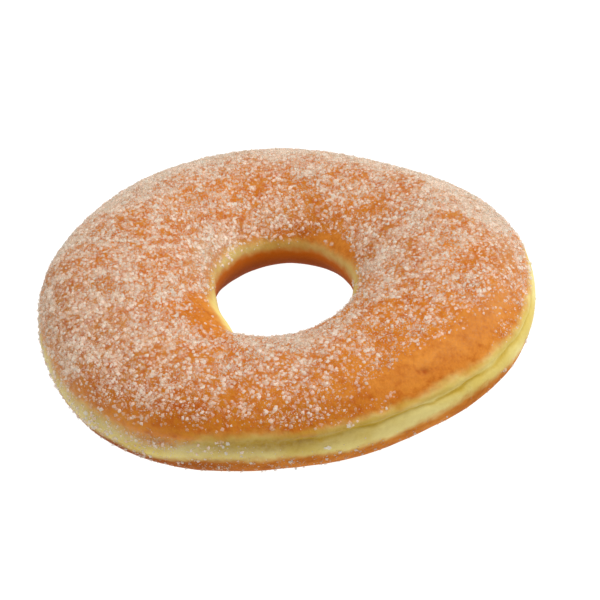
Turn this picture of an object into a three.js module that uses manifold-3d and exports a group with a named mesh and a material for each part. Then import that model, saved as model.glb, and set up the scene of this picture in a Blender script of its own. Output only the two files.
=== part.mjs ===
// A sugared ring doughnut: one fried ring of dough, uncut, with sugar crystals stuck to its crust.
// Millimetres, +Z up. The ring lies on its flat underside, with the origin in the middle of that face.

import * as THREE from 'three';
import Module from 'manifold-3d';
import { ParametricGeometry } from 'three/addons/geometries/ParametricGeometry.js';
import { mergeVertices } from 'three/addons/utils/BufferGeometryUtils.js';

// The mean ring
const OUTER_RADIUS = 47.5;
const HOLE_RADIUS = 14.95;
const HEIGHT = 21;
const CROWN_SHARE = 0.514; // the highest line, as a share of the way from the hole out to the rim
const WAIST_SHARE = 0.46; // the widest line, as a share of the height
const BASE_SINK = 2.5; // how much of the round underside is pressed flat
const RING_CENTRE = new THREE.Vector2(-0.6, -1.3); // keeps the uneven ring's box centred on the origin

// Hand-made unevenness. Each wave has a number of lobes, a share of the mean size and the way one lobe points.
const OUTER_WAVES = [
  { lobes: 2, share: 0.0585, degrees: 6.6 },
  { lobes: 3, share: 0.0313, degrees: -19.7 },
  { lobes: 4, share: 0.004, degrees: 14 },
  { lobes: 6, share: 0.003, degrees: -21 },
  { lobes: 7, share: 0.0037, degrees: 25 },
];
const HOLE_WAVES = [
  { lobes: 2, share: 0.082, degrees: 77.9 },
  { lobes: 3, share: 0.013, degrees: 1 },
  { lobes: 4, share: 0.0165, degrees: -22.5 },
  { lobes: 5, share: 0.015, degrees: 23.6 },
];
const HOLE_NOTCH = { share: 0.075, degrees: -123, spreadDegrees: 8 }; // where a finger opened the hole
const HEIGHT_WAVES = [
  { lobes: 1, share: 0.141, degrees: -136 },
  { lobes: 2, share: 0.101, degrees: -10 },
  { lobes: 3, share: 0.0145, degrees: -38 },
];

// Soft lumps in the crust: lobes round the ring and turns over its section
const LUMPS = [
  { lobes: 5, turns: 2, share: 0.014, degrees: 20 },
  { lobes: 7, turns: 3, share: 0.009, degrees: -40 },
];

// The crease where the risen top half folds over the pale band, deepest towards the front right
const CREASE_DEPTH = 0.55;
const CREASE_HALF_WIDTH = 0.9;
const CREASE_SHARE = 0.57; // its height, as a share of the ring's height
const CREASE_DEGREES = -62;
const CREASE_SPREAD_DEGREES = 52;
const CREASE_LEAST = 0.1; // the share of its depth that it keeps on the far side

// The largest sugar crystals, half sunk in the crust, with a stretch of the rim left bare
const CRYSTAL_COUNT = 176;
const CRYSTAL_LENGTH = { least: 0.9, most: 1.5 };
const CRYSTAL_WIDTH_SHARE = 0.8;
const CRYSTAL_THICKNESS_SHARE = 0.65;
const CRYSTAL_RISE_SHARE = 0.08; // how far a crystal's middle stands out, as a share of its length
const BARE_RIM = { fromDegrees: -62, toDegrees: -6, fromShare: 0.6 };
const SEED = 12;

// Facets
const STEPS_ROUND = 80;
const STEPS_OVER = 42;
const CREASE_CROWDING = 0.5; // how much closer the steps lie at the crease than on average
const MERGE_GAP = 1e-4;

const GOLDEN_ANGLE = Math.PI * (3 - Math.sqrt(5));

function wavy(waves, around) {
  return waves.reduce((size, wave) => {
    const lobe = THREE.MathUtils.degToRad(wave.degrees);
    return size + wave.share * Math.cos(wave.lobes * (around - lobe));
  }, 1);
}

function lumpy(around, over) {
  return LUMPS.reduce((size, lump) => {
    const lobe = THREE.MathUtils.degToRad(lump.degrees);
    return size + lump.share * Math.cos(lump.lobes * (around - lobe)) * Math.cos(lump.turns * over);
  }, 1);
}

// 1 at one angle round the ring, falling to 0 on both sides of it
function nearness(around, degrees, spreadDegrees) {
  const away = around - THREE.MathUtils.degToRad(degrees);
  const turned = Math.atan2(Math.sin(away), Math.cos(away));
  const spread = turned / THREE.MathUtils.degToRad(spreadDegrees);
  return Math.exp(-spread * spread);
}

function holeRadius(around) {
  const notch = HOLE_NOTCH.share * nearness(around, HOLE_NOTCH.degrees, HOLE_NOTCH.spreadDegrees);
  return HOLE_RADIUS * (wavy(HOLE_WAVES, around) + notch);
}

function creaseDepth(around) {
  const strength = nearness(around, CREASE_DEGREES, CREASE_SPREAD_DEGREES);
  return CREASE_DEPTH * (CREASE_LEAST + (1 - CREASE_LEAST) * strength);
}

// A point of the crust: around is the angle round the ring, over the angle over its section from the rim
function crustPoint(around, over, target) {
  const rim = OUTER_RADIUS * wavy(OUTER_WAVES, around);
  const hole = holeRadius(around);
  const height = HEIGHT * wavy(HEIGHT_WAVES, around);
  const crown = hole + (rim - hole) * CROWN_SHARE;
  const waist = height * WAIST_SHARE;
  const across = Math.cos(over) > 0 ? rim - crown : crown - hole;
  const up = Math.sin(over) > 0 ? height - waist : waist + BASE_SINK;
  const lump = lumpy(around, over);
  const z = Math.max(0, waist + up * lump * Math.sin(over));
  let radius = crown + across * lump * Math.cos(over);
  if (Math.cos(over) > 0) {
    const fromCrease = (z - height * CREASE_SHARE) / CREASE_HALF_WIDTH;
    radius -= creaseDepth(around) * Math.exp(-fromCrease * fromCrease);
  }
  const x = RING_CENTRE.x + radius * Math.cos(around);
  const y = RING_CENTRE.y + radius * Math.sin(around);
  return target.set(x, y, z);
}

function crustNormal(around, over) {
  const step = 0.01;
  const roundTheRing = crustPoint(around + step, over, new THREE.Vector3());
  roundTheRing.sub(crustPoint(around - step, over, new THREE.Vector3()));
  const overTheSection = crustPoint(around, over + step, new THREE.Vector3());
  overTheSection.sub(crustPoint(around, over - step, new THREE.Vector3()));
  return roundTheRing.cross(overTheSection).normalize();
}

function doughGeometry() {
  const place = (u, v, target) => {
    const turn = 2 * Math.PI * v;
    return crustPoint(2 * Math.PI * u, turn - CREASE_CROWDING * Math.sin(turn), target);
  };
  return new ParametricGeometry(place, STEPS_ROUND, STEPS_OVER);
}

function isBare(around, share) {
  const degrees = THREE.MathUtils.euclideanModulo(THREE.MathUtils.radToDeg(around) + 180, 360) - 180;
  const onStretch = degrees > BARE_RIM.fromDegrees && degrees < BARE_RIM.toDegrees;
  return onStretch && share > BARE_RIM.fromShare;
}

// The angle over the section at a share of the way from the hole out to the rim, on the upper side
function overAtShare(share) {
  const half = share > CROWN_SHARE ? 1 - CROWN_SHARE : CROWN_SHARE;
  return Math.acos((share - CROWN_SHARE) / half);
}

function crystalGeometry(around, over) {
  const draw = THREE.MathUtils.seededRandom;
  const length = THREE.MathUtils.lerp(CRYSTAL_LENGTH.least, CRYSTAL_LENGTH.most, draw() ** 2);
  const geometry = new THREE.BoxGeometry(
    length,
    length * CRYSTAL_WIDTH_SHARE,
    length * CRYSTAL_THICKNESS_SHARE,
  );
  geometry.applyQuaternion(new THREE.Quaternion().setFromEuler(
    new THREE.Euler(Math.PI * draw(), Math.PI * draw(), Math.PI * draw()),
  ));
  const middle = crustPoint(around, over, new THREE.Vector3());
  middle.addScaledVector(crustNormal(around, over), CRYSTAL_RISE_SHARE * length);
  return geometry.translate(middle.x, middle.y, middle.z);
}

// Crystals spread evenly over the upper side, by a golden-angle spiral of equal areas
function crystalGeometries() {
  THREE.MathUtils.seededRandom(SEED);
  const crystals = [];
  for (let i = 0; i < CRYSTAL_COUNT; i += 1) {
    const around = i * GOLDEN_ANGLE;
    const part = (i + 0.5) / CRYSTAL_COUNT;
    const radius = Math.sqrt(THREE.MathUtils.lerp(HOLE_RADIUS ** 2, OUTER_RADIUS ** 2, part));
    const share = (radius - HOLE_RADIUS) / (OUTER_RADIUS - HOLE_RADIUS);
    if (!isBare(around, share)) {
      crystals.push(crystalGeometry(around, overAtShare(share)));
    }
  }
  return crystals;
}

const wasm = await Module();
wasm.setup();

function solidOf(geometry) {
  geometry.deleteAttribute('normal');
  geometry.deleteAttribute('uv');
  const merged = mergeVertices(geometry, MERGE_GAP);
  return new wasm.Manifold(new wasm.Mesh({
    numProp: 3,
    vertProperties: new Float32Array(merged.attributes.position.array),
    triVerts: new Uint32Array(merged.index.array),
  }));
}

function geometryOf(solid) {
  const mesh = solid.getMesh();
  const geometry = new THREE.BufferGeometry();
  geometry.setAttribute('position', new THREE.BufferAttribute(mesh.vertProperties, 3));
  geometry.setIndex(new THREE.BufferAttribute(mesh.triVerts, 1));
  geometry.computeVertexNormals();
  return geometry;
}

function makeDoughnut() {
  const sugared = crystalGeometries().reduce(
    (solid, crystal) => solid.add(solidOf(crystal)),
    solidOf(doughGeometry()),
  );
  const crust = new THREE.MeshStandardMaterial({ color: '#d29b62', roughness: 0.7, metalness: 0 });
  const doughnut = new THREE.Mesh(geometryOf(sugared), crust);
  doughnut.name = 'doughnut';
  return doughnut;
}

const group = new THREE.Group();
group.add(makeDoughnut());

export default group;
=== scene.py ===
# %% [markdown]
# A sugared ring doughnut.
# The real thing is one ring of soft dough, fried floating in fat: first one side, then the other. Both
# halves brown, and the strip between them, which never dips under, stays pale. While it is hot it is
# rolled in granulated sugar. The solid frame holds the ring at its true size. This script makes what a
# camera sees of it: the crust with its crease and colours, and the thousands of sugar grains on it.

# %% Load the fixed frame
import math

import bmesh
import bpy
import numpy as np
from mathutils import Matrix, Vector, noise


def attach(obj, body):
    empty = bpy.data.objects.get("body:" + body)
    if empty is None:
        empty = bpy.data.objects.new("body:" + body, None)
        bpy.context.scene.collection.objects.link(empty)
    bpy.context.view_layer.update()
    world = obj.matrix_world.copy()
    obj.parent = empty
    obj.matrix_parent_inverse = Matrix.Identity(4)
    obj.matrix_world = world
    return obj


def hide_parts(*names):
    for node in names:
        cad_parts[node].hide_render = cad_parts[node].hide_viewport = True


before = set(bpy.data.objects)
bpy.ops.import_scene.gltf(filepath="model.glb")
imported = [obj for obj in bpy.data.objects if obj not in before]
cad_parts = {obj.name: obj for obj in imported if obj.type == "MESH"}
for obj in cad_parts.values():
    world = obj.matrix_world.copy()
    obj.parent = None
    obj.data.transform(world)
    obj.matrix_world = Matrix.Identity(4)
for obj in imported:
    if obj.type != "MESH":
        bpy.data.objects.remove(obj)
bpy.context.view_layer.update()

# %% [markdown]
# The ring's form.
# A torus would be too perfect: dough is stretched by hand, so its rim, its hole and its height all wander,
# and a finger has left a notch in the hole. It could be sculpted, but a formula keeps it in step with the
# solid ring. Two angles name a place on the crust: one runs round the ring, the other over its section,
# from the rim (0) over the crown (90) to the hole (180). The mean sizes are multiplied by a few waves.
# All lengths here are millimetres.

# %% Mean sizes and waves of the ring
MM = 0.001
OUTER_RADIUS = 47.5
HOLE_RADIUS = 14.95
HEIGHT = 21.0
CROWN_SHARE = 0.514  # the highest line, as a share of the way from the hole out to the rim
WAIST_SHARE = 0.46  # the widest line, as a share of the height
BASE_SINK = 2.5  # how much of the round underside is pressed flat
RING_CENTRE = (-0.6, -1.3)  # keeps the uneven ring's box centred on the origin

# each wave: lobes round the ring, share of the mean size, direction of one lobe in degrees
OUTER_WAVES = [(2, 0.0585, 6.6), (3, 0.0313, -19.7), (4, 0.004, 14), (6, 0.003, -21), (7, 0.0037, 25)]
HOLE_WAVES = [(2, 0.082, 77.9), (3, 0.013, 1), (4, 0.0165, -22.5), (5, 0.015, 23.6)]
HEIGHT_WAVES = [(1, 0.141, -136), (2, 0.101, -10), (3, 0.0145, -38)]
# where a finger opened the hole: share of its radius, direction and spread in degrees
HOLE_NOTCH = (0.075, -123, 8)
# each lump: lobes round the ring, turns over the section, share of the section, direction in degrees
LUMPS = [(5, 2, 0.014, 20), (7, 3, 0.009, -40)]
print("mean ring, in mm:", 2 * OUTER_RADIUS, "wide,", 2 * HOLE_RADIUS, "across the hole,", HEIGHT, "high")


# %% Waves, lumps and angles
def wavy(waves, around):
    """A size round the ring, as a share of its mean."""
    size = np.ones_like(around)
    for lobes, share, degrees in waves:
        size += share * np.cos(lobes * (around - math.radians(degrees)))
    return size


def turned(angle):
    """The same angle between half a turn back and half a turn on."""
    return np.arctan2(np.sin(angle), np.cos(angle))


def nearness(around, degrees, spread_degrees):
    """1 at one angle round the ring, falling to 0 on both sides of it."""
    spread = np.degrees(turned(around - math.radians(degrees))) / spread_degrees
    return np.exp(-(spread**2))


def lumpy(around, over):
    """How much the section swells or sinks at a place, as a share of its size."""
    size = np.ones_like(around)
    for lobes, turns, share, degrees in LUMPS:
        size += share * np.cos(lobes * (around - math.radians(degrees))) * np.cos(turns * over)
    return size


# %% [markdown]
# The crease.
# Where the risen top half meets the band, the skin folds into a thin line that is deepest at the front
# right and fades behind. A wide soft dip with a narrow cut in it reads as a fold; a plain groove looks
# machined. The dip is part of the form. The cut, and the lip above it, come later with the relief.

# %% Depth and place of the crease
CREASE_DEPTH = 0.55
CREASE_HALF_WIDTH = 0.9
CREASE_SHARE = 0.57  # its height, as a share of the ring's height
CREASE_DEGREES = -62  # where round the ring it is deepest
CREASE_SPREAD_DEGREES = 52
CREASE_LEAST = 0.1  # the share of its depth that it keeps on the far side


def crease_strength(around):
    return CREASE_LEAST + (1 - CREASE_LEAST) * nearness(around, CREASE_DEGREES, CREASE_SPREAD_DEGREES)


# %% Places on the crust and their normals
ANGLE_STEP = 0.004  # radians, for measuring slopes


def hole_radius(around):
    share, degrees, spread = HOLE_NOTCH
    return HOLE_RADIUS * (wavy(HOLE_WAVES, around) + share * nearness(around, degrees, spread))


def crust_points(around, over):
    """Places on the crust, in millimetres, for arrays of the two angles."""
    rim = OUTER_RADIUS * wavy(OUTER_WAVES, around)
    hole = hole_radius(around)
    height = HEIGHT * wavy(HEIGHT_WAVES, around)
    crown = hole + (rim - hole) * CROWN_SHARE
    waist = height * WAIST_SHARE
    outside = np.cos(over) > 0
    across = np.where(outside, rim - crown, crown - hole)
    up = np.where(np.sin(over) > 0, height - waist, waist + BASE_SINK)
    lump = lumpy(around, over)
    z = np.maximum(0, waist + up * lump * np.sin(over))
    from_crease = (z - height * CREASE_SHARE) / CREASE_HALF_WIDTH
    dip = CREASE_DEPTH * crease_strength(around) * np.exp(-from_crease**2)
    radius = crown + across * lump * np.cos(over) - np.where(outside, dip, 0)
    x = RING_CENTRE[0] + radius * np.cos(around)
    y = RING_CENTRE[1] + radius * np.sin(around)
    return np.stack([x, y, z], axis=1)


def crust_normals(around, over):
    """Outward directions of the crust, and its area for each square radian of the two angles."""
    along = crust_points(around + ANGLE_STEP, over) - crust_points(around - ANGLE_STEP, over)
    across = crust_points(around, over + ANGLE_STEP) - crust_points(around, over - ANGLE_STEP)
    normals = np.cross(along, across)
    lengths = np.linalg.norm(normals, axis=1)
    return normals / lengths[:, None], lengths / (2 * ANGLE_STEP) ** 2


heights = HEIGHT * wavy(HEIGHT_WAVES, np.radians(np.arange(-180.0, 180.0)))
print("the ring is", round(heights.min(), 1), "to", round(heights.max(), 1), "mm high")

# %% [markdown]
# The dough's mesh.
# One circle, the ring's section, is spun once round the hole. That gives clean rows of quads that follow
# the ring, which a sculpt or a remesh wouldn't. Each vertex then keeps its two angles and moves to its
# place on the crust. The rows are crowded towards the rim, because the crease lies there.

# %% Spin the section
SECTION_STEPS = 176
RING_STEPS = 480
MERGE_GAP = 1e-4
CROWN_RADIUS = HOLE_RADIUS + (OUTER_RADIUS - HOLE_RADIUS) * CROWN_SHARE


def spun_torus(crown_radius, section_radius):
    torus = bmesh.new()
    bmesh.ops.create_circle(torus, segments=SECTION_STEPS, radius=section_radius)
    upright = Matrix.Translation((crown_radius, 0, 0)) @ Matrix.Rotation(math.radians(90), 4, "X")
    bmesh.ops.transform(torus, matrix=upright, verts=torus.verts)
    bmesh.ops.spin(
        torus,
        geom=torus.verts[:] + torus.edges[:],
        axis=(0, 0, 1),
        cent=(0, 0, 0),
        angle=math.tau,
        steps=RING_STEPS,
        use_merge=True,
    )
    bmesh.ops.remove_doubles(torus, verts=torus.verts, dist=MERGE_GAP)
    bmesh.ops.recalc_face_normals(torus, faces=torus.faces)
    return torus


torus = spun_torus(CROWN_RADIUS, OUTER_RADIUS - CROWN_RADIUS)
dough_mesh = bpy.data.meshes.new("dough_ring")
torus.to_mesh(dough_mesh)
torus.free()
print("dough vertices:", len(dough_mesh.vertices), "faces:", len(dough_mesh.polygons))

# %% Move it to the crust
RIM_CROWDING = 0.5  # how much closer the rows lie at the rim than on average


def torus_angles(mesh, crown_radius):
    """The two angles of each vertex, from its place on the torus."""
    co = np.empty(3 * len(mesh.vertices))
    mesh.vertices.foreach_get("co", co)
    x, y, z = co.reshape(-1, 3).T
    section_turn = np.arctan2(z, np.hypot(x, y) - crown_radius)
    return np.arctan2(y, x), section_turn - RIM_CROWDING * np.sin(section_turn)


dough_around, dough_over = torus_angles(dough_mesh, CROWN_RADIUS)
dough_points = crust_points(dough_around, dough_over)
dough_normals, _ = crust_normals(dough_around, dough_over)
print("crust from", dough_points.min(axis=0).round(1), "to", dough_points.max(axis=0).round(1), "mm")

# %% [markdown]
# Relief of the crust.
# A fried skin is never smooth: it swells in soft dimples, bulges in a lip above the fold, wrinkles near
# it, and has a few small pits where a bubble burst. Noise moves each vertex in or out along its normal.
# The fold's cut wanders, forks and comes and goes as a fold in dough does, and the pits are placed one
# by one.

# %% Sizes of the relief
DIMPLES = [(8.0, 0.16), (3.0, 0.06)]  # size and depth
FOLD_HALF_WIDTH = 0.42
FOLD_DEPTH = 0.2
FOLD_LINES = [(0.0, 1.0, 0.0), (1.4, 0.5, 20.0)]  # height above the crease, strength, shift of the noise
FOLD_WANDERS = [(12.0, 0.6), (5.0, 0.9), (1.7, 0.3)]  # size and height
FOLD_FADING = (7.0, 0.8, 0.6, 0.2)  # size, mean, swing and least strength
FOLD_THINNING = (4.0, 0.7)  # size and swing of the width
LIP_HEIGHT = 0.9
LIP_HALF_WIDTH = 0.8
LIP_BULGE = 0.22
WRINKLE_SIZE = 1.4
WRINKLE_DEPTH = 0.06
WRINKLE_REACH = 3.0
WRINKLES_UPRIGHT = (1, 1, 0.4)  # how fast the noise changes along x, y and z, so that wrinkles stand upright
FLAT_BASE = 2.0  # the height below which the relief fades, so that the ring lies flat
# each pit: degrees round the ring, degrees over the section, half width, depth
PITS = [(-53, 40, 0.6, 0.4), (-54.5, 42, 0.5, 0.25), (-36, 57, 0.5, 0.25), (-38.5, 59, 0.4, 0.2)]
DEEPEST_PIT = max(depth for *_, depth in PITS)
RIM_SIDE = (0.0, 0.5)  # cosines over the section between which the rim's side begins
# shifts of the noise, so that no two features follow the same pattern
FADING_SHIFT = 5.0
THINNING_SHIFT = 9.0
WRINKLE_SHIFT = 7.0
print("the fold is cut", FOLD_DEPTH, "mm deep, and the deepest pit is", DEEPEST_PIT, "mm deep")


# %% Noise and the fold's lines
def smoothly(low, high, values):
    """0 at low and 1 at high, with soft ends."""
    share = np.clip((values - low) / (high - low), 0, 1)
    return share * share * (3 - 2 * share)


def wander(points, size, shift=0.0):
    """Noise between about -1 and 1, with features of that size in millimetres."""
    return np.array([noise.noise(Vector(p) / size + Vector((shift, 0, 0))) for p in points])


def above_crease(points, around):
    """Millimetres above the middle of the crease."""
    return points[:, 2] - HEIGHT * wavy(HEIGHT_WAVES, around) * CREASE_SHARE


def fold_lines(points, around):
    """Nearness to the fold's lines, from 0 to 1."""
    rim_line = OUTER_RADIUS * np.stack([np.cos(around), np.sin(around), np.zeros_like(around)], axis=1)
    fade_size, fade_mean, fade_swing, fade_least = FOLD_FADING
    thin_size, thin_swing = FOLD_THINNING
    near = np.zeros(len(points))
    for height, strength, shift in FOLD_LINES:
        line = height + sum(lift * wander(rim_line, size, shift) for size, lift in FOLD_WANDERS)
        fading = fade_mean + fade_swing * wander(rim_line, fade_size, shift + FADING_SHIFT)
        half_width = FOLD_HALF_WIDTH * (1 + thin_swing * wander(rim_line, thin_size, shift + THINNING_SHIFT))
        away = (above_crease(points, around) - line) / half_width
        near = np.maximum(near, strength * np.clip(fading, fade_least, 1) * np.exp(-(away**2)))
    return near * crease_strength(around)


# %% Pits
def pit_depths(points):
    """How deep the burst bubbles are at each place."""
    depth = np.zeros(len(points))
    for around, over, half_width, deep in PITS:
        middle = crust_points(np.radians([float(around)]), np.radians([float(over)]))[0]
        away = np.linalg.norm(points - middle, axis=1) / half_width
        depth += deep * np.exp(-(away**2))
    return depth


pits = pit_depths(dough_points)
print("vertices in the pits:", int((pits > DEEPEST_PIT / 2).sum()))

# %% Move the crust by its relief
on_rim = smoothly(*RIM_SIDE, np.cos(dough_over))
fold = on_rim * fold_lines(dough_points, dough_around)
rise = above_crease(dough_points, dough_around)
near_fold = on_rim * np.exp(-((rise / WRINKLE_REACH) ** 2))
lip = on_rim * np.exp(-(((rise - LIP_HEIGHT) / LIP_HALF_WIDTH) ** 2))
off_base = smoothly(0.0, FLAT_BASE, dough_points[:, 2])
relief = sum(depth * wander(dough_points, size) for size, depth in DIMPLES)
relief += WRINKLE_DEPTH * near_fold * wander(dough_points * WRINKLES_UPRIGHT, WRINKLE_SIZE, WRINKLE_SHIFT)
relief += LIP_BULGE * crease_strength(dough_around) * lip
relief -= FOLD_DEPTH * fold + pits
dough_points += (relief * off_base)[:, None] * dough_normals
dough_mesh.vertices.foreach_set("co", (dough_points * MM).ravel())
dough_mesh.update()
print("relief from", round(relief.min(), 2), "to", round(relief.max(), 2), "mm")

# %% [markdown]
# Where the crust is brown and where it is pale.
# The fat browns the top half down to the band and the underside up to it, and neither edge is even:
# tongues of brown reach into the band. Each vertex carries numbers from 0 to 1, as attributes that the
# material reads. Painting weights by hand would do it too, but these follow the same two angles as the
# form, so they fit it everywhere.

# %% Edges of the brown
RIM_BROWNS = (14, 29)  # degrees over the section where the band turns brown, upwards
BASE_BROWNS = (-1, -14)  # and downwards
HOLE_BROWNS = (165, 149)  # the same in the hole
HOLE_BASE_BROWNS = (165, 181)
HOLE_TONES = (156, 174, 215, 245)  # where the hole's own brown starts, is full, fades and ends
# where the hole darkens deeper in: its browner crust, with painted shade on top
HOLE_DARKENS = (174, 200, 215, 245)
RIM_WANDERS = [(6.0, 3.0), (1.8, 2.6), (0.9, 2.2)]  # size in millimetres and degrees
BASE_WANDERS = [(6.0, 3.0), (1.6, 2.6), (0.7, 2.0)]
# each tongue of brown: degrees round the ring, reach, degrees by which the edge lies lower
RIM_TONGUES = [
    (-178, 28, 9), (-146, 16, 9), (-124, 10, 17), (-88, 7, 4),
    (15, 9, 5), (70, 12, 7), (120, 9, -4), (160, 8, 8),
]
HOLE_TONGUES = [(-130, 26, 13), (65, 65, -9), (172, 28, -9)]
BASE_TONGUES = [
    (-145, 9, 5), (-126, 7, 8), (-74, 14, 4), (-45, 12, -6),
    (5, 12, 4), (60, 10, -5), (115, 14, 5), (170, 12, -4),
]
# each patch: degrees round, degrees over, reach round, reach over, amount
PAINTED_SHADE_PATCHES = [(-138, -14, 32, 40, 0.95)]  # where the left of the underside is darkened with painted shade
BROWNING_SHIFT = 3.0  # of the noise
print("tongues at rim, hole and base:", len(RIM_TONGUES), len(HOLE_TONGUES), len(BASE_TONGUES))


# %% Browning from the two angles
def over_degrees(over):
    """Degrees over the section from the middle of the underside (-90) round to it again (270)."""
    return np.degrees((over + math.pi / 2) % math.tau) - 90


def tongue_drops(around, tongues):
    """How much lower, in degrees over the section, an edge lies at each place round the ring."""
    drops = np.zeros_like(around)
    for degrees, reach, drop in tongues:
        drops += drop * nearness(around, degrees, reach)
    return drops


def browning(around, over, points):
    """How brown the top half and the underside are."""
    degrees = over_degrees(over)
    rim = degrees + sum(shift * wander(points, size, BROWNING_SHIFT) for size, shift in RIM_WANDERS)
    base = degrees + sum(shift * wander(points, size, BROWNING_SHIFT) for size, shift in BASE_WANDERS)
    top = smoothly(*RIM_BROWNS, rim + tongue_drops(around, RIM_TONGUES))
    top *= smoothly(*HOLE_BROWNS, rim + tongue_drops(around, HOLE_TONGUES))
    low = smoothly(*BASE_BROWNS, base + tongue_drops(around, BASE_TONGUES))
    return top, np.maximum(low, smoothly(*HOLE_BASE_BROWNS, rim))


# %% Patches, and paint on a mesh
def between(edges, degrees):
    """1 between the two middle edges, fading to 0 at the outer ones."""
    return smoothly(edges[0], edges[1], degrees) * (1 - smoothly(edges[2], edges[3], degrees))


def patches_sum(around, degrees, patches):
    """What soft round patches add up to at each place."""
    total = np.zeros_like(around)
    for patch_around, patch_over, reach_around, reach_over, amount in patches:
        beyond = (degrees - patch_over) / reach_over
        total += amount * nearness(around, patch_around, reach_around) * np.exp(-(beyond**2))
    return total


def paint(mesh, name, values):
    """Keeps one number for each vertex, under a name that a material can read."""
    mesh.attributes.new(name, "FLOAT", "POINT").data.foreach_set("value", values.astype(np.float32))


dough_degrees = over_degrees(dough_over)
# Deeper in the hole the browner crust is darkened further with painted shade; on the left of the underside
# the patch is painted shade alone.
deep_brown_and_shade = between(HOLE_DARKENS, dough_degrees) + patches_sum(dough_around, dough_degrees, PAINTED_SHADE_PATCHES)
top_brown, low_brown = browning(dough_around, dough_over, dough_points)
paint(dough_mesh, "top_brown", top_brown)
paint(dough_mesh, "low_brown", low_brown)
paint(dough_mesh, "inner", between(HOLE_TONES, dough_degrees))
paint(dough_mesh, "deep_brown_and_shade", deep_brown_and_shade)
paint(dough_mesh, "fold", np.clip(fold, 0, 1))
paint(dough_mesh, "pit", np.clip(pits / DEEPEST_PIT, 0, 1))
print("mean browning, top:", round(top_brown.mean(), 2), "underside:", round(low_brown.mean(), 2))

# %% [markdown]
# Where the sugar lies.
# Sugar sticks where the crust was still wet with fat, thickest on the top and the left, and a stretch of
# the front right stays bare. A level coat between two edges is raised or lowered by soft patches. The
# crust reads the map for its film of sugar and for the painted shade between the grains, and the grains
# are drawn from the same map, so that film, shade and grains agree. Smaller maps of patches say where the
# crust is darkened further with the colour of that painted shade, where the band is dusty, where it is a
# darker gold with painted shade, and where the hole's pale edge has painted light.

# %% The sugar map
SUGAR_LEVEL = 0.72
SUGAR_MOST = 1.5
SUGAR_EDGES = (11, 36, 142, 164)  # degrees over the section where the coat starts, is full, thins and ends
UNDERSIDE_SUGAR = 0.01
# each patch as before, with the sugar added or taken
SUGAR_PATCHES = [
    (-45, 42, 31, 19, -0.85),
    (-70, 62, 40, 32, -0.26),
    (-105, 33, 31, 14, -0.52),
    (-42, 97, 24, 22, -0.26),
    (75, 118, 30, 26, -0.15),
    (-135, 126, 19, 20, -0.58),
    (-134, 30, 16, 11, -0.2),
    (-108, 57, 22, 9, -0.22),
    (46, 152, 18, 13, -0.75),
    (47, 118, 12, 18, -0.35),
    (-136, 151, 24, 13, -0.8),
    (8, 128, 26, 18, 0.25),
    (-92, 117, 18, 16, 0.2),
    (-115, 106, 10, 12, -0.25),
    (-60, 141, 42, 15, -0.5),
    (177, 70, 14, 22, -0.3),
    (95, 52, 60, 17, 0.8),
    (-20, 100, 12, 12, 0.3),
    (-87, 38, 8, 10, 0.3),
    (-88, 78, 9, 12, 0.22),
    (96, 96, 8, 12, 0.22),
    (-5, 86, 11, 13, -0.35),
    (28, 54, 24, 20, 0.3),
    (93, 130, 10, 18, 0.15),
    (112, 122, 20, 28, -0.24),
    (-154, 66, 30, 30, 0.3),
    (-152, 28, 5, 6, 0.35),
    (135, 153, 45, 12, 0.4),
    (-124, 4, 24, 10, 0.14),
    (-165, 14, 26, 18, 0.2),
    (-108, -18, 30, 10, 0.08),
    (150, -15, 40, 20, 0.2),
    (40, -22, 35, 18, 0.15),
]
print("patches of sugar:", len(SUGAR_PATCHES))

# %% Patches of darkening, dust, gold with painted shade, and painted light
# patches as before, here for crust darkened further with the colour of the painted shade under the sugar
DARKENING_PATCHES = [(-100, 32, 40, 20, 0.4)]
# and for dust too fine to show as grains
DUST_PATCHES = [
    (-126, 5, 25, 9, 0.7),
    (-165, 12, 26, 22, 0.6),
    (-91, 12, 14, 6, 0.25),
    (155, 152, 36, 14, 1.0),
    (120, 8, 45, 14, 0.6),
    (60, 46, 75, 12, 0.8),
]
DUSTY_BASE = (0.2, 1.2, 0.55)  # the flat underside is dusty: from and to height, and how much
# and for the band's darker olive gold: partly its own darker gold, partly painted shade where the band faces
# the front and in the hole
GOLD_AND_SHADE_PATCHES = [
    (-97, 12, 22, 9, 0.85),
    (-85, 3, 40, 14, 0.35),
    (-138, 4, 24, 14, 0.4),
    (-62, 16, 30, 3, 0.4),
    (140, 14, 40, 7, 0.8),
    (75, 171, 75, 12, 0.55),
]
# and for painted light on the hole's pale edge on the left
LIT_PATCHES = [(-134, 154, 34, 20, 0.6)]
print("patches of dust:", len(DUST_PATCHES), "of gold:", len(GOLD_AND_SHADE_PATCHES))


# %% Paint the sugar
def sugar_map(around, over):
    """How thick the coat of sugar is at each place."""
    degrees = over_degrees(over)
    coat = np.maximum(SUGAR_LEVEL * between(SUGAR_EDGES, degrees), UNDERSIDE_SUGAR * (degrees < 0))
    return np.clip(coat + patches_sum(around, degrees, SUGAR_PATCHES), 0, SUGAR_MOST)


dough_sugar = sugar_map(dough_around, dough_over)
paint(dough_mesh, "sugar", dough_sugar)
paint(dough_mesh, "darkening", patches_sum(dough_around, dough_degrees, DARKENING_PATCHES))
dust = patches_sum(dough_around, dough_degrees, DUST_PATCHES)
dusty_from, dusty_to, dusty_most = DUSTY_BASE
dust += dusty_most * (1 - smoothly(dusty_from, dusty_to, dough_points[:, 2]))
paint(dough_mesh, "dust", dust)
paint(dough_mesh, "gold_and_shade", patches_sum(dough_around, dough_degrees, GOLD_AND_SHADE_PATCHES))
paint(dough_mesh, "lit", patches_sum(dough_around, dough_degrees, LIT_PATCHES))
print("mean sugar:", round(dough_sugar.mean(), 2))

# %% [markdown]
# A helper for materials.
# A material is a graph of nodes, and sums written as nodes are hard to read. The first small class wraps
# one number that varies over a surface, so that ordinary arithmetic adds the Math nodes. The second is
# the material, and every other node comes from one of its methods.


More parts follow.
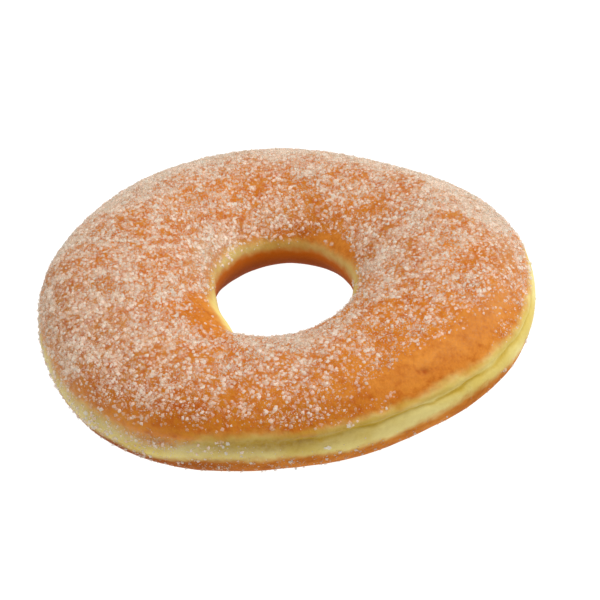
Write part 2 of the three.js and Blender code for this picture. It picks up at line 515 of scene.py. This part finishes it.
# %% Arithmetic on numbers that vary
class Reading:
    """A number that changes over a surface."""

    def __init__(self, finish, socket):
        self.finish = finish
        self.socket = socket

    def sum(self, operation, first, second):
        return self.finish.node("ShaderNodeMath", {"operation": operation}, {0: first, 1: second})

    def __add__(self, other):
        return self.sum("ADD", self, other)

    def __radd__(self, other):
        return self.sum("ADD", other, self)

    def __mul__(self, other):
        return self.sum("MULTIPLY", self, other)

    def __rmul__(self, other):
        return self.sum("MULTIPLY", other, self)


# %% Materials built by methods
class Finish:
    """A material under construction."""

    def __init__(self, name):
        self.material = bpy.data.materials.new(name)
        self.material.use_nodes = True
        self.tree = self.material.node_tree
        self.shader = self.tree.nodes["Principled BSDF"]
        self.place = self.node("ShaderNodeTexCoord", {}, {}, "Object")

    def node(self, kind, settings, inputs, output=0):
        """Any node: its settings come first, then its sockets' values or links."""
        made = self.tree.nodes.new(kind)
        for key, value in settings.items():
            setattr(made, key, value)
        self.fill(made, inputs)
        return Reading(self, made.outputs[output])

    def fill(self, made, inputs):
        for key, value in inputs.items():
            if isinstance(value, Reading):
                self.tree.links.new(value.socket, made.inputs[key])
            else:
                made.inputs[key].default_value = value

    def attribute(self, name):
        return self.node("ShaderNodeAttribute", {"attribute_name": name}, {}, "Fac")

    def noise(self, size, detail):
        """Noise from 0 to 1 with features of that size in millimetres."""
        inputs = {"Vector": self.place, "Scale": 1 / (size * MM), "Detail": detail}
        return self.node("ShaderNodeTexNoise", {}, inputs, "Fac")

    def ramp(self, value, low, high):
        """Smoothly 0 below low and 1 above high."""
        inputs = {"Value": value, "From Min": low, "From Max": high}
        return self.node("ShaderNodeMapRange", {"interpolation_type": "SMOOTHSTEP"}, inputs)

    def spots(self, size, detail, low, high):
        """Noise stretched so that it is 0 below low and 1 above high."""
        return self.ramp(self.noise(size, detail), low, high)

    def mix(self, share, first, second):
        """A colour between two colours, which are sockets 6 and 7 of the node."""
        inputs = {"Factor": share, 6: first, 7: second}
        return self.node("ShaderNodeMix", {"data_type": "RGBA"}, inputs, 2)

    def bump(self, height, distance):
        """Normals of a relief whose full height is that distance in millimetres."""
        inputs = {"Height": height, "Distance": distance * MM}
        return self.node("ShaderNodeBump", {}, inputs)


# %% Colours as a picture shows them
def colour(red, green, blue):
    """A linear colour from 0 to 255 values, by the standard curve of pictures."""
    shares = [c / 255 for c in (red, green, blue)]
    linear = [c / 12.92 if c <= 0.04045 else ((c + 0.055) / 1.055) ** 2.4 for c in shares]
    return (*linear, 1.0)


# %% [markdown]
# The crust's finish.
# Under the sugar the skin is satin and unevenly browned: orange on top, darker underneath and in the hole,
# pale yellow in the band. Painted shade darkens it too: between the grains, where the sugar lies, deeper in
# the hole over its browner crust, on the left of the underside, and in the band's olive gold where it faces
# the front and in the hole; painted light brightens the hole's pale edge on the left. The finest sugar, too
# small for grains of its own, is a film, so it is part of this material: it whitens the colour and takes
# the satin away. Noise of several sizes mixes the colours, because a picture of a crust would repeat.

# %% Colours of the crust
PALE_DOUGH = colour(232, 216, 140)
GOLD_DOUGH = colour(218, 194, 104)
# the band's darker olive gold, partly its own colour and partly painted shade
OLIVE_GOLD_AND_SHADE = colour(158, 120, 34)
# painted light on the hole's pale edge
LIT_DOUGH = colour(252, 224, 128)
TOP_CRUST = colour(222, 141, 54)
TOP_CRUST_DARK = colour(178, 85, 12)
LOW_CRUST = colour(204, 126, 42)
LOW_CRUST_DARK = colour(164, 86, 16)
HOLE_CRUST = colour(188, 96, 8)
# deeper in the hole, browner crust with painted shade; on the left of the underside, painted shade
DEEP_CRUST_AND_SHADE = colour(134, 58, 2)
FOLD_SHADE = colour(190, 150, 16)
PIT_BROWN = colour(164, 68, 10)
# painted shade between the sugar grains, gold and red
SHADE_UNDER_SUGAR = colour(183, 106, 8)
SHADE_UNDER_SUGAR_RED = colour(173, 77, 15)
SUGAR_FILM = colour(210, 174, 132)
BAND_DUST = colour(196, 182, 152)
WARM_GLOSS = (1.0, 0.8, 0.55, 1.0)

# %% Patterns of the crust
# size in millimetres, detail, and the part of the noise that is stretched to 0 to 1
MOTTLE = (7.0, 3.0, 0.35, 0.7)
FRECKLE = (1.6, 3.0, 0.4, 0.75)
BLUSH = (1.2, 2.0, 0.38, 0.64)
SPECK = (0.7, 2.0, 0.45, 0.65)
# size and detail alone
PORES = (0.45, 2.0)
SKIN_GRAIN = (1.1, 2.0)
# the part of the pores' noise that is stretched, for the skin and for the dust
SKIN_PORES = (0.35, 0.7)
DUST_PORES = (0.45, 0.62)
# how much each pattern counts
GOLD_AND_SHADE_SHARES = (0.75, 0.25)  # even, in freckles
TOP_SHARES = (0.4, 0.45, 0.2)  # in mottles, freckles and pores
LOW_SHARES = (0.6, 0.4)  # in mottles and freckles
SHADE_BY_SUGAR = 0.9
FOLD_SHADING = 0.9
FILM_THICKENS = (0.45, 1.25)  # on the sugar map
FILM_SHARES = (0.12, 0.28)  # even, in specks
DUST_SHARES = (0.2, 0.25, 0.3)  # even, in specks and in pores
ROUGHNESS_SHARES = (0.5, 0.4, 0.25, 0.06)  # even, by film, underside and mottles
PORE_RELIEF = 0.5
SKIN_BUMP = 0.12
SKIN_SPECULAR = 0.07


# %% Crust material
def pale_colour(crust, mottle, freckle):
    pale = crust.mix(mottle, PALE_DOUGH, GOLD_DOUGH)
    # The band's darker olive gold is partly its own colour and partly painted shade where it faces the front
    # and in the hole.
    gold_and_shade = crust.attribute("gold_and_shade") * (GOLD_AND_SHADE_SHARES[0] + freckle * GOLD_AND_SHADE_SHARES[1])
    pale = crust.mix(gold_and_shade, pale, OLIVE_GOLD_AND_SHADE)
    # Painted light brightens the hole's pale edge on the left.
    return crust.mix(crust.attribute("lit"), pale, LIT_DOUGH)


def top_colour(crust, mottle, freckle, pores):
    tone = mottle * TOP_SHARES[0] + freckle * TOP_SHARES[1] + crust.ramp(pores, *SKIN_PORES) * TOP_SHARES[2]
    top = crust.mix(tone, TOP_CRUST, TOP_CRUST_DARK)
    # Under the sugar, and where patches add more, painted shade darkens the crust as the shadows between the
    # grains would.
    darkening = crust.mix(crust.spots(*BLUSH), SHADE_UNDER_SUGAR, SHADE_UNDER_SUGAR_RED)
    return crust.mix(crust.attribute("sugar") * SHADE_BY_SUGAR + crust.attribute("darkening"), top, darkening)


def low_colour(crust, mottle, freckle):
    low = crust.mix(mottle * LOW_SHARES[0] + freckle * LOW_SHARES[1], LOW_CRUST, LOW_CRUST_DARK)
    low = crust.mix(crust.attribute("inner"), low, HOLE_CRUST)
    # Deeper in the hole painted shade darkens the browner crust, and on the left of the underside it is
    # painted shade alone.
    return crust.mix(crust.attribute("deep_brown_and_shade"), low, DEEP_CRUST_AND_SHADE)


def crust_finish():
    crust = Finish("fried_crust")
    mottle = crust.spots(*MOTTLE)
    freckle = crust.spots(*FRECKLE)
    speck = crust.spots(*SPECK)
    pores = crust.noise(*PORES)
    low_brown = crust.attribute("low_brown")
    film = crust.ramp(crust.attribute("sugar"), *FILM_THICKENS) * (FILM_SHARES[0] + speck * FILM_SHARES[1])
    dusty = DUST_SHARES[0] + speck * DUST_SHARES[1] + crust.ramp(pores, *DUST_PORES) * DUST_SHARES[2]
    even, by_film, by_underside, by_mottle = ROUGHNESS_SHARES
    skin = pale_colour(crust, mottle, freckle)
    skin = crust.mix(crust.attribute("top_brown"), skin, top_colour(crust, mottle, freckle, pores))
    skin = crust.mix(low_brown, skin, low_colour(crust, mottle, freckle))
    skin = crust.mix(crust.attribute("fold") * FOLD_SHADING, skin, FOLD_SHADE)
    skin = crust.mix(crust.attribute("pit"), skin, PIT_BROWN)
    skin = crust.mix(film, skin, SUGAR_FILM)
    skin = crust.mix(crust.attribute("dust") * dusty, skin, BAND_DUST)
    crust.fill(crust.shader, {
        "Base Color": skin,
        "Roughness": even + film * by_film + low_brown * by_underside + mottle * by_mottle,
        "Normal": crust.bump(pores * PORE_RELIEF + crust.noise(*SKIN_GRAIN), SKIN_BUMP),
        "Specular IOR Level": SKIN_SPECULAR,
        "Specular Tint": WARM_GLOSS,
    })
    return crust.material


# %% The dough in its crust
dough = bpy.data.objects.new("dough_ring", dough_mesh)
bpy.context.scene.collection.objects.link(dough)
dough_mesh.materials.append(crust_finish())
dough_mesh.shade_smooth()
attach(dough, "root")
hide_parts("doughnut")
print("dough ring finished")

# %% [markdown]
# The sugar's places.
# Granulated sugar is a mix of skewed blocks with sharp edges and their splinters, 0.16 to 0.7 mm. Particles
# or instances would be lost when the model is exported, so each size becomes one joined mesh, and its
# grains' places are drawn first, all at once as arrays: random angles, kept in proportion to the crust's
# area and the sugar map, with noise of two sizes that gathers them in clumps, large grains more than
# fine ones. A fixed seed gives the same sugar every time.

# %% Scatter places on the crust
CLUMPS = [(2.2, 1.3), (7.0, 0.5)]  # size in millimetres and contrast
FULL_CLUMP = 1.8  # the density, against the mean, at which every grain is kept
LOWEST_GRAIN = 0.9  # height
TRIES_A_GRAIN = 18
CLUMP_SHIFT = 11.0  # of the noise


def scattered(count, clumping, draw):
    """The two angles of that many grains."""
    tries = TRIES_A_GRAIN * count
    around = draw.uniform(-math.pi, math.pi, tries)
    over = draw.uniform(-math.pi, math.pi, tries)
    points = crust_points(around, over)
    _, areas = crust_normals(around, over)
    wanted = sugar_map(around, over) / SUGAR_MOST * areas / areas.max() * (points[:, 2] > LOWEST_GRAIN)
    likely = np.nonzero(draw.uniform(0, 1, tries) < wanted)[0]
    gathering = sum(contrast * wander(points[likely], size, CLUMP_SHIFT) for size, contrast in CLUMPS)
    kept = likely[draw.uniform(0, FULL_CLUMP, len(likely)) < 1 + clumping * gathering][:count]
    return around[kept], over[kept]


# %% [markdown]
# From blocks to grains.
# A cube is the pattern for a block, and a three-sided cone for a splinter. For every grain its corners are
# jittered, skewed, stretched and turned, and it is sunk a little into the crust. Light passes through sugar
# and leaves it on all sides, so a grain has no dark side and hardly any shadow. Tracing that through
# thousands of grains would be slow, so a grain casts no shadow, and its normals lean towards the crust's
# and up, where the light comes from.

# %% Patterns of the grains
SPLINTER_RADIUS = 0.65  # as a share of the length


def block(shape):
    bmesh.ops.create_cube(shape, size=1.0)


def splinter(shape):
    bmesh.ops.create_cone(shape, segments=3, radius1=SPLINTER_RADIUS, radius2=0, depth=1, cap_ends=True)


def pattern_of(make_shape):
    """Vertices and faces of one grain of unit size."""
    shape = bmesh.new()
    make_shape(shape)
    shape.verts.index_update()
    vertices = np.array([v.co[:] for v in shape.verts])
    faces = [[v.index for v in face.verts] for face in shape.faces]
    shape.free()
    return vertices, faces


# %% Corners and normals of the grains
GRAIN_WIDTHS = (0.75, 1.0)  # least and most, as shares of the length
GRAIN_THICKNESSES = (0.6, 0.9)
GRAIN_TILT = 0.4
GRAIN_SUNK = 0.35  # the share of its thickness that is in the crust
GRAIN_JITTER = 0.09
GRAIN_SKEW = 0.25
NORMAL_LEAN = 0.65
LEAN_UP = 0.8


def turns_about(normals, draw):
    """A frame for each grain: its third axis near the normal, and a free turn about it."""
    up = normals + GRAIN_TILT * draw.normal(size=normals.shape)
    up /= np.linalg.norm(up, axis=1)[:, None]
    side = np.cross(up, draw.normal(size=normals.shape))
    side /= np.linalg.norm(side, axis=1)[:, None]
    return np.stack([side, np.cross(up, side), up], axis=2)


def grain_corners(vertices, normals, sizes, draw):
    """Corners of each grain about its own middle, and how high that middle stands above the crust."""
    count = len(normals)
    length = draw.uniform(*sizes, count)
    width = draw.uniform(*GRAIN_WIDTHS, count)
    thickness = draw.uniform(*GRAIN_THICKNESSES, count)
    shares = np.stack([np.ones(count), width, thickness], axis=1)
    corners = vertices[None] + GRAIN_JITTER * draw.normal(size=(count, len(vertices), 3))
    corners[:, :, 0] += GRAIN_SKEW * corners[:, :, 2]
    corners *= (length[:, None] * shares)[:, None, :]
    corners = np.einsum("nij,nvj->nvi", turns_about(normals, draw), corners)
    return corners, (0.5 - GRAIN_SUNK) * length * thickness


def leaning_normals(corners, normals):
    lean = normals + (0, 0, LEAN_UP)
    lean /= np.linalg.norm(lean, axis=1)[:, None]
    facing = corners / np.linalg.norm(corners, axis=2)[:, :, None]
    return (1 - NORMAL_LEAN) * facing + NORMAL_LEAN * lean[:, None, :]


# %% Joined meshes of grains
PALE_WHITENESS = 0.6  # how much whiter grains look on the pale band than on the brown crust


def joined_mesh(name, corners, faces):
    count, corner_count, _ = corners.shape
    starts = (corner_count * np.arange(count)).tolist()
    mesh = bpy.data.meshes.new(name)
    mesh.from_pydata((corners.reshape(-1, 3) * MM).tolist(), [], [
        [v + start for v in face] for start in starts for face in faces
    ])
    return mesh


def sugar_piece(name, make_shape, angles, sizes, draw, finish):
    """One size of sugar as one piece that lies on the crust at those angles."""
    around, over = angles
    points = crust_points(around, over)
    normals, _ = crust_normals(around, over)
    vertices, faces = pattern_of(make_shape)
    corners, lifts = grain_corners(vertices, normals, sizes, draw)
    facing = leaning_normals(corners, normals)
    middles = points + normals * lifts[:, None]
    mesh = joined_mesh(name, corners + middles[:, None, :], faces)
    pale = 1 - np.maximum(*browning(around, over, points))
    whiteness = np.clip(draw.uniform(0, 1, len(points)) + PALE_WHITENESS * pale, 0, 1)
    paint(mesh, "whiteness", np.repeat(whiteness, len(vertices)))
    paint(mesh, "tint", np.repeat(draw.uniform(0, 1, len(points)), len(vertices)))
    mesh.normals_split_custom_set_from_vertices(facing.reshape(-1, 3).tolist())
    mesh.materials.append(finish)
    piece = bpy.data.objects.new(name, mesh)
    piece.visible_shadow = False
    bpy.context.scene.collection.objects.link(piece)
    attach(piece, "root")
    mesh.calc_loop_triangles()
    print(name, "grains:", len(points), "triangles:", len(mesh.loop_triangles))


# %% [markdown]
# The sugar's finish.
# A sugar crystal is clear, so most grains show the crust's colour through a little white, and a few catch
# the light and are white all over. Real glass in thousands of tiny blocks renders slowly and noisily. A
# partly see-through white that differs from grain to grain, some rosy and some cool, gives the same veil
# and sparkle, and a weak glow stands for the light that a crystal passes on.

# %% Sugar material
CLEAR_SUGAR = colour(216, 188, 158)
WHITE_SUGAR = colour(230, 213, 196)
ROSY_SUGAR = colour(226, 186, 160)
COOL_SUGAR = colour(212, 210, 196)
SUGAR_GLOW = 0.14
SUGAR_SPECULAR = 0.4
SCRATCHES = (0.3, 1.0)  # size in millimetres and detail of the noise
WHITE_SHARES = (0.8, 0.4)  # how much a grain's whiteness and its scratches count
WHITENS = (0.3, 1.0)
ROSY_TINTS = (0.4, 0.1)  # tints between which a grain turns rosy, and cool
COOL_TINTS = (0.6, 0.9)
TINT_STRENGTH = 0.6
ROUGHNESS_OF_SUGAR = (0.25, 0.25)  # even, by scratches
THICKENS = (0.7, 1.0)  # whiteness between which a grain hides more of the crust
OPACITY = (0.3, 0.36)  # of a clear grain, and added for a white one


def sugar_finish():
    sugar = Finish("granulated_sugar")
    grain = sugar.attribute("whiteness")
    scratched = sugar.noise(*SCRATCHES)
    tint = sugar.attribute("tint")
    whitened = sugar.ramp(grain * WHITE_SHARES[0] + scratched * WHITE_SHARES[1], *WHITENS)
    white = sugar.mix(whitened, CLEAR_SUGAR, WHITE_SUGAR)
    white = sugar.mix(sugar.ramp(tint, *ROSY_TINTS) * TINT_STRENGTH, white, ROSY_SUGAR)
    white = sugar.mix(sugar.ramp(tint, *COOL_TINTS) * TINT_STRENGTH, white, COOL_SUGAR)
    sugar.fill(sugar.shader, {
        "Base Color": white,
        "Roughness": ROUGHNESS_OF_SUGAR[0] + scratched * ROUGHNESS_OF_SUGAR[1],
        "Alpha": OPACITY[0] + sugar.ramp(grain, *THICKENS) * OPACITY[1],
        "Specular IOR Level": SUGAR_SPECULAR,
        "Emission Color": white,
        "Emission Strength": SUGAR_GLOW,
    })
    return sugar.material


# %% [markdown]
# Crumbs and coat.
# The largest crystals of the solid ring are crumbs of sugar: small crystals stuck together. They lie by the
# same golden-angle spiral here, a few crystals to each crumb. The coat is five sizes of grain, each one
# piece, because one size alone looks like sand.

# %% Places of the crumbs
CRUMB_COUNT = 176
CRUMB_GRAINS = 4
CRUMB_SPREAD = 0.55
BARE_RIM = (-62, -6, 0.6)  # from and to degrees round, and the share of the width past which it is bare
GOLDEN_ANGLE = math.pi * (3 - math.sqrt(5))


def crumb_angles(draw):
    """The two angles of the crumbs' crystals, a few for each place of an even spiral over the upper side."""
    turn = np.arange(CRUMB_COUNT)
    around = turned(turn * GOLDEN_ANGLE)
    radius = np.sqrt(HOLE_RADIUS**2 + (OUTER_RADIUS**2 - HOLE_RADIUS**2) * (turn + 0.5) / CRUMB_COUNT)
    share = (radius - HOLE_RADIUS) / (OUTER_RADIUS - HOLE_RADIUS)
    over = np.arccos((share - CROWN_SHARE) / np.where(share > CROWN_SHARE, 1 - CROWN_SHARE, CROWN_SHARE))
    degrees = np.degrees(around)
    bare = (degrees > BARE_RIM[0]) & (degrees < BARE_RIM[1]) & (share > BARE_RIM[2])
    around, over, radius = (np.repeat(values[~bare], CRUMB_GRAINS) for values in (around, over, radius))
    section = (OUTER_RADIUS - HOLE_RADIUS) / 2
    around = around + CRUMB_SPREAD * draw.normal(size=len(around)) / radius
    over = over + CRUMB_SPREAD * draw.normal(size=len(over)) / section
    return around, over


# %% Sugar pieces
SEED = 21
CRUMB_SIZES = (0.45, 0.7)  # least and most length of a crumb's crystals
# each size of the coat: name, shape, grains, clumping, least and most length
COAT = [
    ("sugar_coarse", block, 5600, 1.0, (0.45, 0.65)),
    ("sugar_medium", block, 13000, 0.9, (0.34, 0.48)),
    ("sugar_small", splinter, 37500, 0.7, (0.28, 0.44)),
    ("sugar_fine", splinter, 42000, 0.5, (0.2, 0.32)),
    ("sugar_dust", splinter, 42000, 0.3, (0.16, 0.24)),
]

granulated = sugar_finish()
draw = np.random.default_rng(SEED)
sugar_piece("sugar_crumbs", block, crumb_angles(draw), CRUMB_SIZES, draw, granulated)
for coat_name, coat_shape, coat_count, clumping, coat_sizes in COAT:
    sugar_piece(coat_name, coat_shape, scattered(coat_count, clumping, draw), coat_sizes, draw, granulated)

# %% [markdown]
# Floor and light.
# The ring lies on plain white under soft studio light: one large lamp high on the right, one overhead, a
# weak one on the left and a pale sky to fill the shadows. The floor glows, as a light table does, which
# keeps it white. Without the glow the lamps would cast a plain shadow beside the ring, and the photograph
# hardly has one.

# %% Floor
FLOOR_REACH = 3.0  # metres
FLOOR_GREY = (0.2, 0.2, 0.2, 1.0)
FLOOR_ROUGHNESS = 0.9
FLOOR_SPECULAR = 0.1
WHITE_LIGHT = (1.0, 1.0, 1.0, 1.0)
FLOOR_GLOW = 1.0


def white_floor():
    floor = Finish("white_floor")
    floor.fill(floor.shader, {
        "Base Color": FLOOR_GREY,
        "Roughness": FLOOR_ROUGHNESS,
        "Specular IOR Level": FLOOR_SPECULAR,
        "Emission Color": WHITE_LIGHT,
        "Emission Strength": FLOOR_GLOW,
    })
    return floor.material


plane = bmesh.new()
bmesh.ops.create_grid(plane, x_segments=1, y_segments=1, size=FLOOR_REACH)
floor_mesh = bpy.data.meshes.new("floor")
plane.to_mesh(floor_mesh)
plane.free()
floor_mesh.materials.append(white_floor())
floor = bpy.data.objects.new("floor", floor_mesh)
bpy.context.scene.collection.objects.link(floor)
print("floor:", 2 * FLOOR_REACH, "m wide")

# %% Lamps and sky
# each lamp: name, place and size in metres, power in watts
LAMPS = [
    ("key_lamp", (0.95, 0.2, 0.9), 0.7, 9.8),
    ("top_lamp", (0.1, 0.15, 1.3), 1.0, 6.8),
    ("fill_lamp", (-0.8, -0.3, 0.9), 0.8, 2.0),
]
SKY_STRENGTH = 0.36


def lamp(name, place, size, power):
    """A soft square lamp that faces the ring."""
    light = bpy.data.lights.new(name, "AREA")
    light.size = size
    light.energy = power
    holder = bpy.data.objects.new(name, light)
    holder.location = place
    holder.rotation_euler = (-Vector(place)).to_track_quat("-Z", "Y").to_euler()
    bpy.context.scene.collection.objects.link(holder)


for lamp_settings in LAMPS:
    lamp(*lamp_settings)
world = bpy.data.worlds.new("pale_sky")
world.use_nodes = True
sky = world.node_tree.nodes["Background"]
sky.inputs["Color"].default_value = WHITE_LIGHT
sky.inputs["Strength"].default_value = SKY_STRENGTH
bpy.context.scene.world = world
bpy.context.scene.view_settings.view_transform = "Standard"
print("lamps:", len(LAMPS))

# %% [markdown]
# Camera.
# The camera stands where the photograph was taken from: a long lens, looking down, with the picture turned
# a little. It could be moved by hand until the picture fits. Here its tilt, its roll and its scale are
# named values, found by fitting the ring's outline, and the lens is worked out from them.

# %% Camera
CAMERA_DISTANCE = 450.0
CAMERA_TILT = math.radians(41.98)
CAMERA_ROLL = math.radians(5.43)
PICTURE_PIXELS = 600
PIXELS_PER_MM = 4.924
RING_PIXEL = (283.86, 293.59)  # where the ring's middle shows in the 600 by 600 photograph
SENSOR = 36.0

camera_data = bpy.data.cameras.new("camera")
camera_data.sensor_width = SENSOR
camera_data.lens = SENSOR * PIXELS_PER_MM * CAMERA_DISTANCE / PICTURE_PIXELS
camera_data.shift_x = 0.5 - RING_PIXEL[0] / PICTURE_PIXELS
camera_data.shift_y = RING_PIXEL[1] / PICTURE_PIXELS - 0.5
camera = bpy.data.objects.new("camera", camera_data)
aim = Vector((RING_CENTRE[0], RING_CENTRE[1], HEIGHT / 2)) * MM
forward = Vector((0, math.cos(CAMERA_TILT), -math.sin(CAMERA_TILT)))
level_up = Vector((0, math.sin(CAMERA_TILT), math.cos(CAMERA_TILT)))
level_right = Vector((1, 0, 0))
right = level_right * math.cos(CAMERA_ROLL) - level_up * math.sin(CAMERA_ROLL)
up = level_right * math.sin(CAMERA_ROLL) + level_up * math.cos(CAMERA_ROLL)
camera.matrix_world = Matrix.Translation(aim - forward * CAMERA_DISTANCE * MM) @ Matrix(
    (right, up, -forward)
).transposed().to_4x4()
bpy.context.scene.collection.objects.link(camera)
bpy.context.scene.camera = camera
print("lens:", round(camera_data.lens, 1), "mm")
